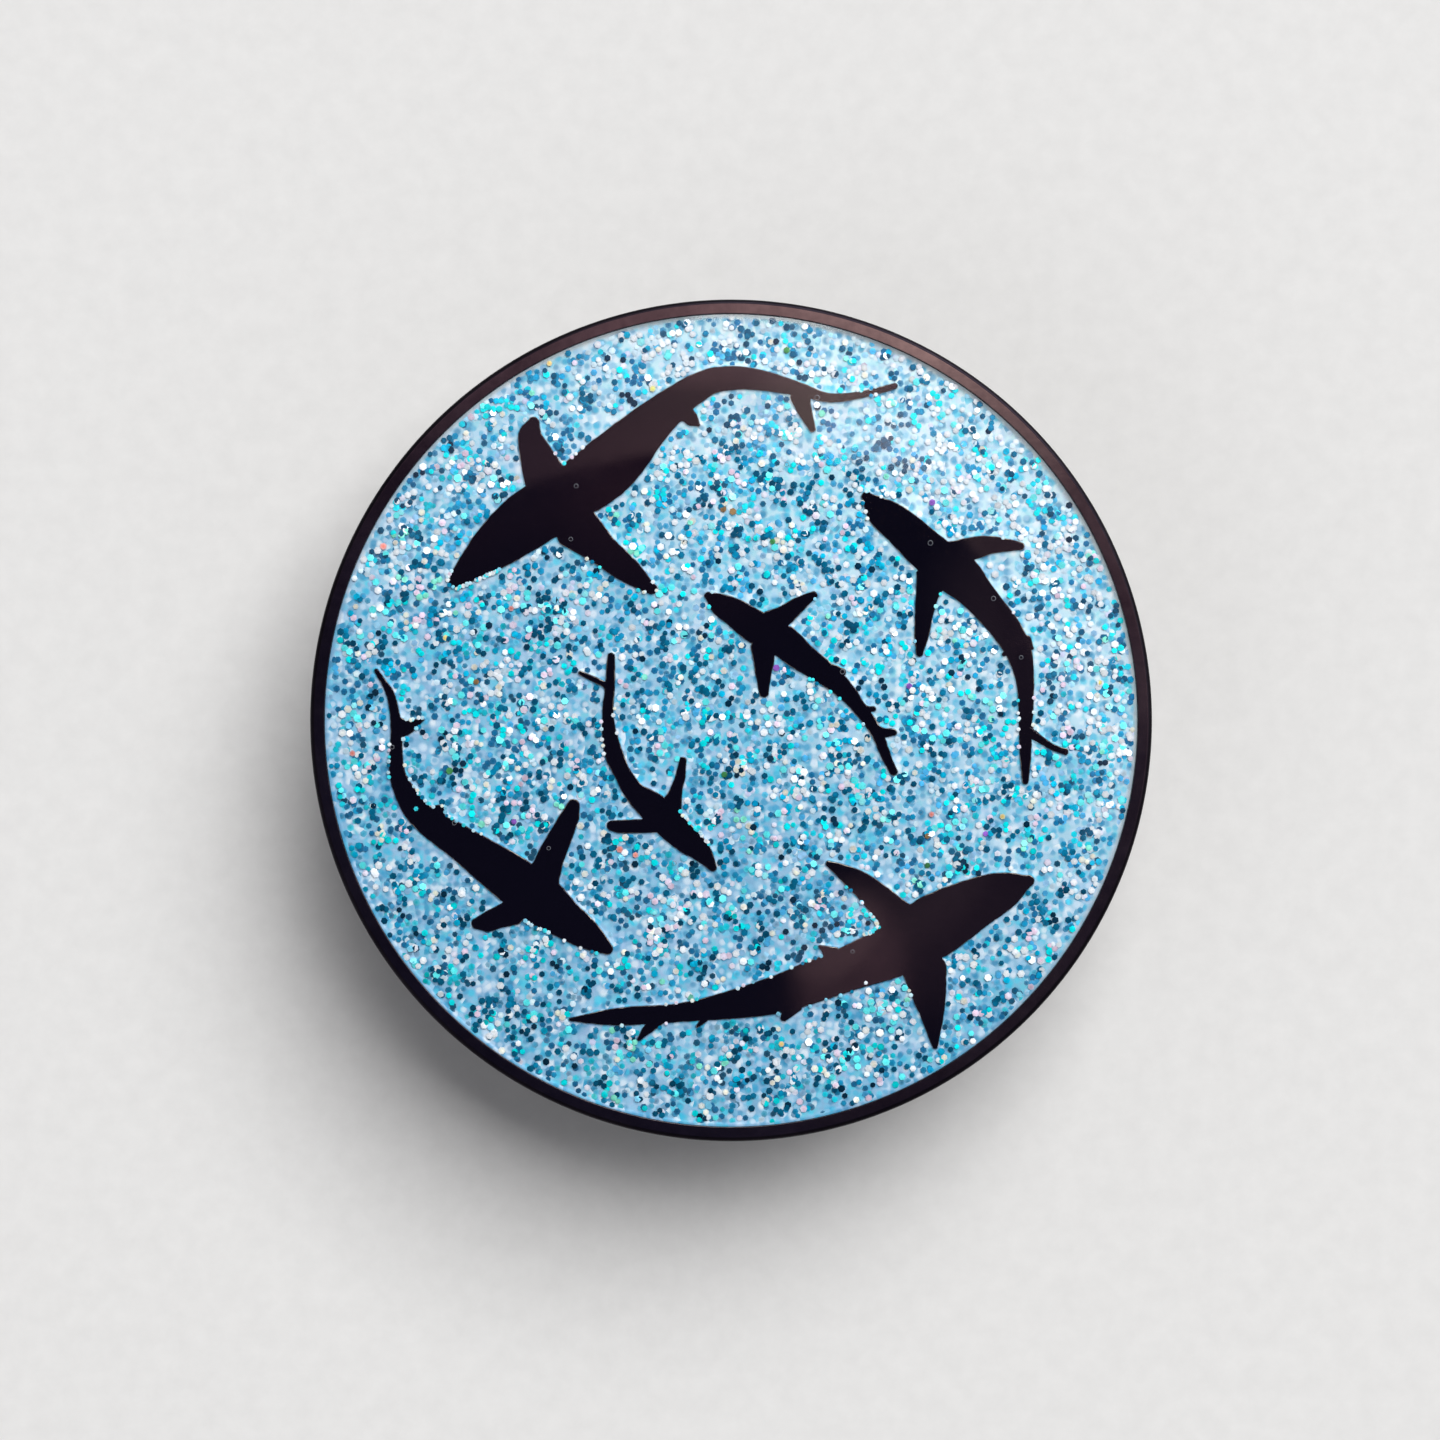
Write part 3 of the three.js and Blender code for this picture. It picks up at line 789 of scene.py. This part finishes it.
def bubbles():
    """A few small air bubbles caught in the coat, some of them over the sharks."""
    rng = random.Random(21)
    bm = bmesh.new()
    most, most_over_enamel = 16, 5
    spread, over_bond = RECESS_R * 0.93, 0.01 * MM
    over_metal = 0
    total = 0
    while total < most:
        distance, bearing = spread * math.sqrt(rng.random()), rng.uniform(0, TAU)
        x, y = distance * math.cos(bearing), distance * math.sin(bearing)
        metal = not over_recess(x, y)
        if not metal and total - over_metal >= most_over_enamel:
            continue
        total += 1
        over_metal += metal
        size = rng.uniform(0.08, 0.12) * MM
        at = Matrix.Translation((x, y, dome_low.z + size + over_bond))
        bmesh.ops.create_uvsphere(bm, u_segments=20, v_segments=12, radius=size, matrix=at)
    mesh = bpy.data.meshes.new("epoxy_bubbles")
    bm.to_mesh(mesh)
    bm.free()
    mesh.materials.append(BUBBLE)
    mesh.polygons.foreach_set("use_smooth", [True] * len(mesh.polygons))
    piece = bpy.data.objects.new("epoxy_bubbles", mesh)
    bpy.context.scene.collection.objects.link(piece)
    return belongs(piece, "pin", "clear_epoxy", "epoxy_dome")


# ---- Posts and clutches -----------------------------------------------------------------


def needle(side):
    """Post with its soldered flange, fillet, groove and point."""
    low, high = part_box(f"post_{side}")
    centre = ((low.x + high.x) / 2, (low.y + high.y) / 2)
    top, tip = high.z, low.z
    shank, flange = 0.55 * MM, high.x - centre[0]  # radii
    point, round_tip, groove = 1.3 * MM, 0.09 * MM, 0.12 * MM
    solder, chamfer = 0.02 * MM, 0.08 * MM  # roundings at the flange's root and edge
    foot = top - 0.27 * MM
    shoulder = tip + point
    notch = shoulder + 0.35 * MM
    profile = [
        (0, tip),
        *arc(0, tip + round_tip, round_tip, -80, -20, 5),
        (shank * 0.62, tip + point * 0.52),
        (shank * 0.9, shoulder - 0.12 * MM),
        (shank, shoulder + 0.06 * MM),
        (shank, notch),
        (shank - groove, notch + groove),
        (shank - groove, notch + groove + 0.1 * MM),
        (shank, notch + 0.5 * MM),
        (shank, foot - solder),
        *arc(shank + solder, foot - solder, solder, 180, 90, 2),
        *arc(flange - chamfer, foot + chamfer, chamfer, -90, 0, 4),
        (flange, top),
        (0, top),
    ]
    piece = turned(f"needle_{side}", profile, 64, [POSTS], centre)
    return belongs(piece, "pin", "post_metal", f"post_{side}")


def cap_shell(side):
    """Stamped cup: nozzle, crowned face with a pressed ring, skirt and rolled edge."""
    low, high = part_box(f"clutch_cap_{side}")
    centre = ((low.x + high.x) / 2, (low.y + high.y) / 2)
    radius, wall = (high.y - low.y) / 2, 0.35 * MM
    top = high.z
    face = top - 0.9 * MM
    foot = low.z
    crown, nozzle, bore = 0.55 * MM, 1.55 * MM, 0.7 * MM
    roll = wall / 2
    inner, inner_crown = radius - wall, crown * 0.8
    lip = radius - 0.66 * MM
    pressed, pressed_half, pressed_deep = 3.3 * MM, 0.35 * MM, 0.07 * MM  # the ring in the face
    neck, mouth, brim = 0.2 * MM, 0.16 * MM, 0.18 * MM  # roundings of the nozzle
    profile = [
        (bore + 0.05 * MM, face - wall),
        (inner - crown, face - wall),
        *arc(inner - inner_crown, face - wall - inner_crown, inner_crown, 90, 0, 5)[1:],
        (inner, foot + wall + 0.05 * MM),
        (lip + roll, foot + 2 * roll),
        *arc(lip + roll, foot + roll, roll, 90, 270, 6),
        *arc(radius - roll, foot + roll, roll, 270, 360, 6),
        *arc(radius - crown, face - crown, crown, 0, 90, 10),
        *[(pressed + pressed_half * math.cos(a), face - pressed_deep * math.sin(a))
          for a in (math.radians(d) for d in range(0, 181, 20))],
        (nozzle + neck + 0.02 * MM, face),
        *arc(nozzle + neck, face + neck, neck, -90, -180, 4),
        *arc(nozzle - brim, top - brim, brim, 0, 90, 5),
        *arc(bore + mouth, top - mouth, mouth, 90, 180, 5),
    ]
    piece = turned(f"cap_shell_{side}", profile, 128, [CLUTCH], centre, closed=True)
    return belongs(piece, f"cap_{side}", "clutch_metal", f"clutch_cap_{side}")


def spring_bed(side):
    """The spring's flat middle, with its slot, rounded corners and rolled edges."""
    low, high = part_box(f"spring_plate_{side}")
    cx, cy = (low.x + high.x) / 2, (low.y + high.y) / 2
    radius, edge = (high.x - low.x) / 2, 0.06 * MM
    slot_x, slot_y, corner = 1.06 * MM, 2.6 * MM, 0.25 * MM
    segments = 96
    outer = circle(radius, segments)
    slot = []
    for quarter, (sx, sy) in enumerate(((1, 1), (-1, 1), (-1, -1), (1, -1))):
        at = Vector((sx * (slot_x - corner), sy * (slot_y - corner)))
        for k in range(5):
            a = math.radians(90 * quarter + 22.5 * k)
            slot.append(at + Vector((math.cos(a), math.sin(a))) * corner)
    levels = [(edge, low.z), (0, low.z + edge), (0, high.z - edge), (edge, high.z)]
    vertices, faces, rows = [], [], []
    for inset, z in levels:
        row = []
        for loop, out in ((outer, -inset), (slot, inset)):
            start = len(vertices)
            vertices += [(cx + p.x, cy + p.y, z) for p in offset(loop, out)]
            row.append(list(range(start, start + len(loop))))
        rows.append(row)
    for below, above in zip(rows, rows[1:]):
        for which, (a, b) in enumerate(zip(below, above)):
            for i in range(len(a)):
                j = (i + 1) % len(a)
                quad = (a[i], a[j], b[j], b[i])
                faces.append(quad if which == 0 else quad[::-1])
    for row in (rows[0], rows[-1]):
        ids = row[0] + row[1]
        loops = [[Vector(vertices[i]) for i in loop] for loop in row]
        faces += [tuple(ids[i] for i in t) for t in geometry.tessellate_polygon(loops)]
    piece = mesh_object(f"spring_bed_{side}", vertices, faces, [SPRING])
    face_outwards(piece)
    return belongs(piece, f"spring_{side}", "spring_metal", f"spring_plate_{side}")


def smooth_path(stations, per_span):
    """A centripetal Catmull-Rom curve through the stations."""
    ends = [2 * stations[0] - stations[1], *stations, 2 * stations[-1] - stations[-2]]
    path = []
    for p0, p1, p2, p3 in zip(ends, ends[1:], ends[2:], ends[3:]):
        t1 = (p1 - p0).length ** 0.5
        t2 = t1 + (p2 - p1).length ** 0.5
        t3 = t2 + (p3 - p2).length ** 0.5
        for i in range(per_span):
            t = t1 + (t2 - t1) * i / per_span
            a1 = p0.lerp(p1, t / t1)
            a2 = p1.lerp(p2, (t - t1) / (t2 - t1))
            a3 = p2.lerp(p3, (t - t2) / (t3 - t2))
            b1 = a1.lerp(a2, t / t2)
            b2 = a2.lerp(a3, (t - t1) / (t3 - t1))
            path.append(b1.lerp(b2, (t - t1) / (t2 - t1)))
    return [*path, stations[-1]]


# The wing's middle line beside the post: [distance from the post's axis, depth under the nozzle].
WING_LINE = [
    (0.78, 1.55), (0.78, 2.35), (1.12, 3.6), (1.75, 5.55), (2.9, 7.05),
    (4.35, 6.35), (5.02, 4.9), (5.1, 3.5),
]


def wing_leaf(side, which, sign):
    """One wing: a bent strip with rounded edges, a round outline and pressed grip ribs."""
    post_low, post_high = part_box(f"post_{side}")
    cap_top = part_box(f"clutch_cap_{side}")[1].z
    low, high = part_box(f"spring_wing_{side}_{which}")
    cx, cy = (post_low.x + post_high.x) / 2, (low.y + high.y) / 2
    half_width, half_thick = (high.y - low.y) / 2, 0.15 * MM
    reach = 5.4 * MM  # of the round end, from the post's axis
    round_end = half_width - 0.1 * MM
    path = smooth_path([Vector((x * MM, -d * MM)) for x, d in WING_LINE], 12)
    lift = (low.z - cap_top) - (min(p.y for p in path) - half_thick)
    corner = 0.1 * MM
    ribs_from, ribs_to, rib_pitch, rib_height = 9.4 * MM, 11.6 * MM, 0.55 * MM, 0.05 * MM
    vertices, faces, rings = [], [], []
    count = len(path)
    travelled = 0.0
    for i, point in enumerate(path):
        ahead = (path[min(i + 1, count - 1)] - path[max(i - 1, 0)]).normalized()
        out = Vector((ahead.y, -ahead.x))
        if i:
            travelled += (point - path[i - 1]).length
        over = max(0.0, point.x - (reach - round_end)) / round_end
        width = half_width * math.sqrt(max(0.08, 1 - over * over))
        at_end = min(i, count - 1 - i)
        shrink = (0.55, 0.85, 1.0)[min(at_end, 2)]
        rib = 0.0
        if ribs_from < travelled < ribs_to:
            rib = rib_height * max(0.0, math.sin((travelled - ribs_from) / rib_pitch * TAU)) ** 2
        ring = []
        section = []
        for quarter, (su, sv) in enumerate(((1, 1), (-1, 1), (-1, -1), (1, -1))):
            for k in range(4):
                a = math.radians(90 * quarter + 30 * k)
                u = su * (width - corner) + corner * math.cos(a)
                v = (sv * (half_thick - corner) + corner * math.sin(a)) * shrink
                section.append((u, v))
        for u, v in section:
            raised = rib if v < 0 and abs(u) < width * 0.7 else 0.0
            spot = point + out * (v - raised * 0.6)
            ring.append(len(vertices))
            vertices.append((cx + sign * spot.x, cy + sign * u, cap_top + lift + spot.y))
        rings.append(ring)
    n = len(rings[0])
    for a, b in zip(rings, rings[1:]):
        for k in range(n):
            m = (k + 1) % n
            faces.append((a[k], b[k], b[m], a[m]))
    faces.append(tuple(rings[0]))
    faces.append(tuple(reversed(rings[-1])))
    piece = mesh_object(f"wing_leaf_{side}_{which}", vertices, faces, [SPRING], sharp=50)
    face_outwards(piece)
    return belongs(piece, f"wing_{side}_{which}", "spring_metal", f"spring_wing_{side}_{which}")


plate()
sharks()
enamel()
glitter()
coat()
bubbles()
for side in ("left", "right"):
    needle(side)
    cap_shell(side)
    spring_bed(side)
    wing_leaf(side, "a", 1)
    wing_leaf(side, "b", -1)

# ---- Stage, lights and camera -----------------------------------------------------------


def floor():
    """A plain pale floor, clear from below so that the pin's back can be looked at."""
    s = Shader("pale_floor")
    paper = s.noise(900, 4, 0.6)
    face = s.add("ShaderNodeBsdfPrincipled", {
        "Base Color": s.ramp(paper, (0.3, 0.68), (0.7, 0.72)),
        "Roughness": 0.85,
        "Normal": s.bump(paper, 0.02 * MM, 0.2),
    })
    clear = s.add("ShaderNodeBsdfTransparent")
    under = s.add("ShaderNodeNewGeometry").outputs["Backfacing"]
    both = s.add("ShaderNodeMixShader", {0: under, 1: face.outputs[0], 2: clear.outputs[0]})
    material = s.finish(both.outputs[0])
    half = 5.0
    corners = [(-half, -half, 0), (half, -half, 0), (half, half, 0), (-half, half, 0)]
    sheet = mesh_object("floor", corners, [(0, 1, 2, 3)], [material])
    sheet.location.z = -0.02 * MM


# Bright patches on the card: middle x and y, half width and height (m), how sharp, and colour.
CARD_PATCHES = [
    (0.04, 0.012, 0.012, 0.02, 0.4, (0.14, 0.09, 0.1)),
    (0.0178, -0.0335, 0.0085, 0.012, 0.65, (0.62, 0.37, 0.38)),
    (0.034, -0.027, 0.018, 0.016, 0.4, (0.19, 0.12, 0.13)),
]


def reflection_card():
    """A soft card over the set, seen only in the gloss: a dark ceiling over a lit warm wall."""
    s = Shader("reflection_card")
    place = s.add("ShaderNodeSeparateXYZ", {"Vector": s.place()})
    drift = s.math("MULTIPLY", s.math("SUBTRACT", s.noise(14, 3, 0.5), 0.5), 0.006)
    x, y = s.math("ADD", place.outputs["X"], drift), s.math("ADD", place.outputs["Y"], drift)

    def spot(at_x, at_y, wide, tall, sharp, colour):
        """A soft oval patch of light on the card."""
        dx = s.math("MULTIPLY", s.math("SUBTRACT", x, at_x), 1 / wide)
        dy = s.math("MULTIPLY", s.math("SUBTRACT", y, at_y), 1 / tall)
        far = s.math("SQRT", s.math("ADD", s.math("MULTIPLY", dx, dx), s.math("MULTIPLY", dy, dy)))
        return s.ramp(far, (sharp, colour), (1.0, (0.0, 0.0, 0.0)))

    # The wall is lit beyond one straight edge and one slanting one, within 1 / crisp metres.
    edge_y, edge_slanting, crisp = 0.0448, 0.0537, 240.0
    corner = s.math("ADD", s.math("MULTIPLY", x, 0.8), s.math("MULTIPLY", y, 0.6))
    past = s.math("MAXIMUM", s.math("SUBTRACT", y, edge_y),
                  s.math("SUBTRACT", corner, edge_slanting))
    lit_wall = s.ramp(s.math("ADD", s.math("MULTIPLY", past, crisp), 0.5), (0.15, 0.0), (0.85, 1.0))
    along = s.ramp(s.math("ADD", s.math("MULTIPLY", x, 10.0), 0.5), (0.15, (0.5, 0.29, 0.35)),
                   (0.47, (1.0, 0.62, 0.62)), (0.75, (1.0, 0.68, 0.68)), (1.0, (0.52, 0.3, 0.33)))
    window = spot(0.031, 0.058, 0.03, 0.03, 0.1, (3.0, 2.2, 1.9))
    wall = s.mix(1.0, lit_wall, s.mix(1.0, along, window, "ADD"), "MULTIPLY")
    beam = s.ramp(s.math("MULTIPLY", y, 10.0), (0.1, 0.0), (0.2, 0.2), (0.3, 0.5), (0.345, 1.0),
                  (0.385, 0.8), (0.41, 0.1))
    left = s.ramp(s.math("ADD", s.math("MULTIPLY", x, 10.0), 0.5),
                  (0.22, 0.3), (0.33, 1.0), (0.5, 1.0), (0.62, 0.0))
    haze = s.mix(1.0, s.mix(1.0, beam, left, "MULTIPLY"), (0.2, 0.085, 0.1), "MULTIPLY")
    glow = s.mix(1.0, wall, haze, "ADD")
    for patch in CARD_PATCHES:
        glow = s.mix(1.0, glow, spot(*patch), "ADD")
    bright = s.mix(1.0, glow, (0.046, 0.043, 0.105), "ADD")
    lit = s.add("ShaderNodeEmission", {"Color": bright, "Strength": 1.0})
    material = s.finish(lit.outputs[0])
    half, height = 0.12, 0.31
    corners = [(-half, -half, 0), (-half, half, 0), (half, half, 0), (half, -half, 0)]
    card = mesh_object("reflection_card", corners, [(0, 1, 2, 3)], [material])
    card.location.z = height
    for rays in ("camera", "diffuse", "transmission", "shadow", "volume_scatter"):
        setattr(card, f"visible_{rays}", False)


def softbox(name, bearing, elevation, distance, size, power, colour):
    """A square lamp aimed at the pin, at a bearing from +X and an elevation in degrees."""
    lamp = bpy.data.lights.new(name, "AREA")
    lamp.shape, lamp.size = "SQUARE", size
    lamp.energy, lamp.color = power, colour
    b, e = math.radians(bearing), math.radians(elevation)
    away = Vector((math.cos(b) * math.cos(e), math.sin(b) * math.cos(e), math.sin(e)))
    holder = bpy.data.objects.new(name, lamp)
    holder.location = away * distance
    holder.rotation_euler = away.to_track_quat("Z", "Y").to_euler()
    bpy.context.scene.collection.objects.link(holder)


def surroundings():
    """Soft room light: pale at the horizon, dim overhead."""
    world = bpy.data.worlds.new("room")
    world.use_nodes = True
    bpy.context.scene.world = world
    tree = world.node_tree
    tree.nodes.clear()
    place = tree.nodes.new("ShaderNodeTexCoord")
    split = tree.nodes.new("ShaderNodeSeparateXYZ")
    ramp = tree.nodes.new("ShaderNodeValToRGB")
    sky = tree.nodes.new("ShaderNodeBackground")
    out = tree.nodes.new("ShaderNodeOutputWorld")
    tree.links.new(place.outputs["Generated"], split.inputs[0])
    tree.links.new(split.outputs["Z"], ramp.inputs["Fac"])
    tree.links.new(ramp.outputs["Color"], sky.inputs["Color"])
    tree.links.new(sky.outputs[0], out.inputs["Surface"])
    marks = ramp.color_ramp.elements
    marks[0].position, marks[0].color = 0.0, (0.45, 0.45, 0.46, 1)
    marks[1].position, marks[1].color = 0.55, (0.27, 0.27, 0.28, 1)
    zenith = marks.new(0.97)
    zenith.color = (0.05, 0.045, 0.05, 1)


def camera():
    """Straight above the face. The pin fills 0.585 of the frame and sits a little right."""
    lens, sensor = 85.0, 36.0
    share = 0.5854  # of the frame's width that the pin fills
    aside = (-0.5 * MM, 0.02 * MM)
    distance = 2 * PIN_R * lens / (share * sensor)
    data = bpy.data.cameras.new("camera")
    data.lens, data.sensor_width = lens, sensor
    data.clip_start, data.clip_end = 0.01, 5.0
    holder = bpy.data.objects.new("camera", data)
    holder.location = (*aside, RIM_TOP + distance)
    bpy.context.scene.collection.objects.link(holder)
    bpy.context.scene.camera = holder


floor()
reflection_card()
surroundings()
softbox("window", bearing=58, elevation=53, distance=3.0, size=2.33, power=120.0,
        colour=(1.0, 0.99, 0.97))
softbox("fill", bearing=215, elevation=40, distance=3.0, size=2.1, power=7.0,
        colour=(0.93, 0.96, 1.0))
camera()
bpy.context.scene.view_settings.view_transform = "Standard"

bpy.context.view_layer.update()
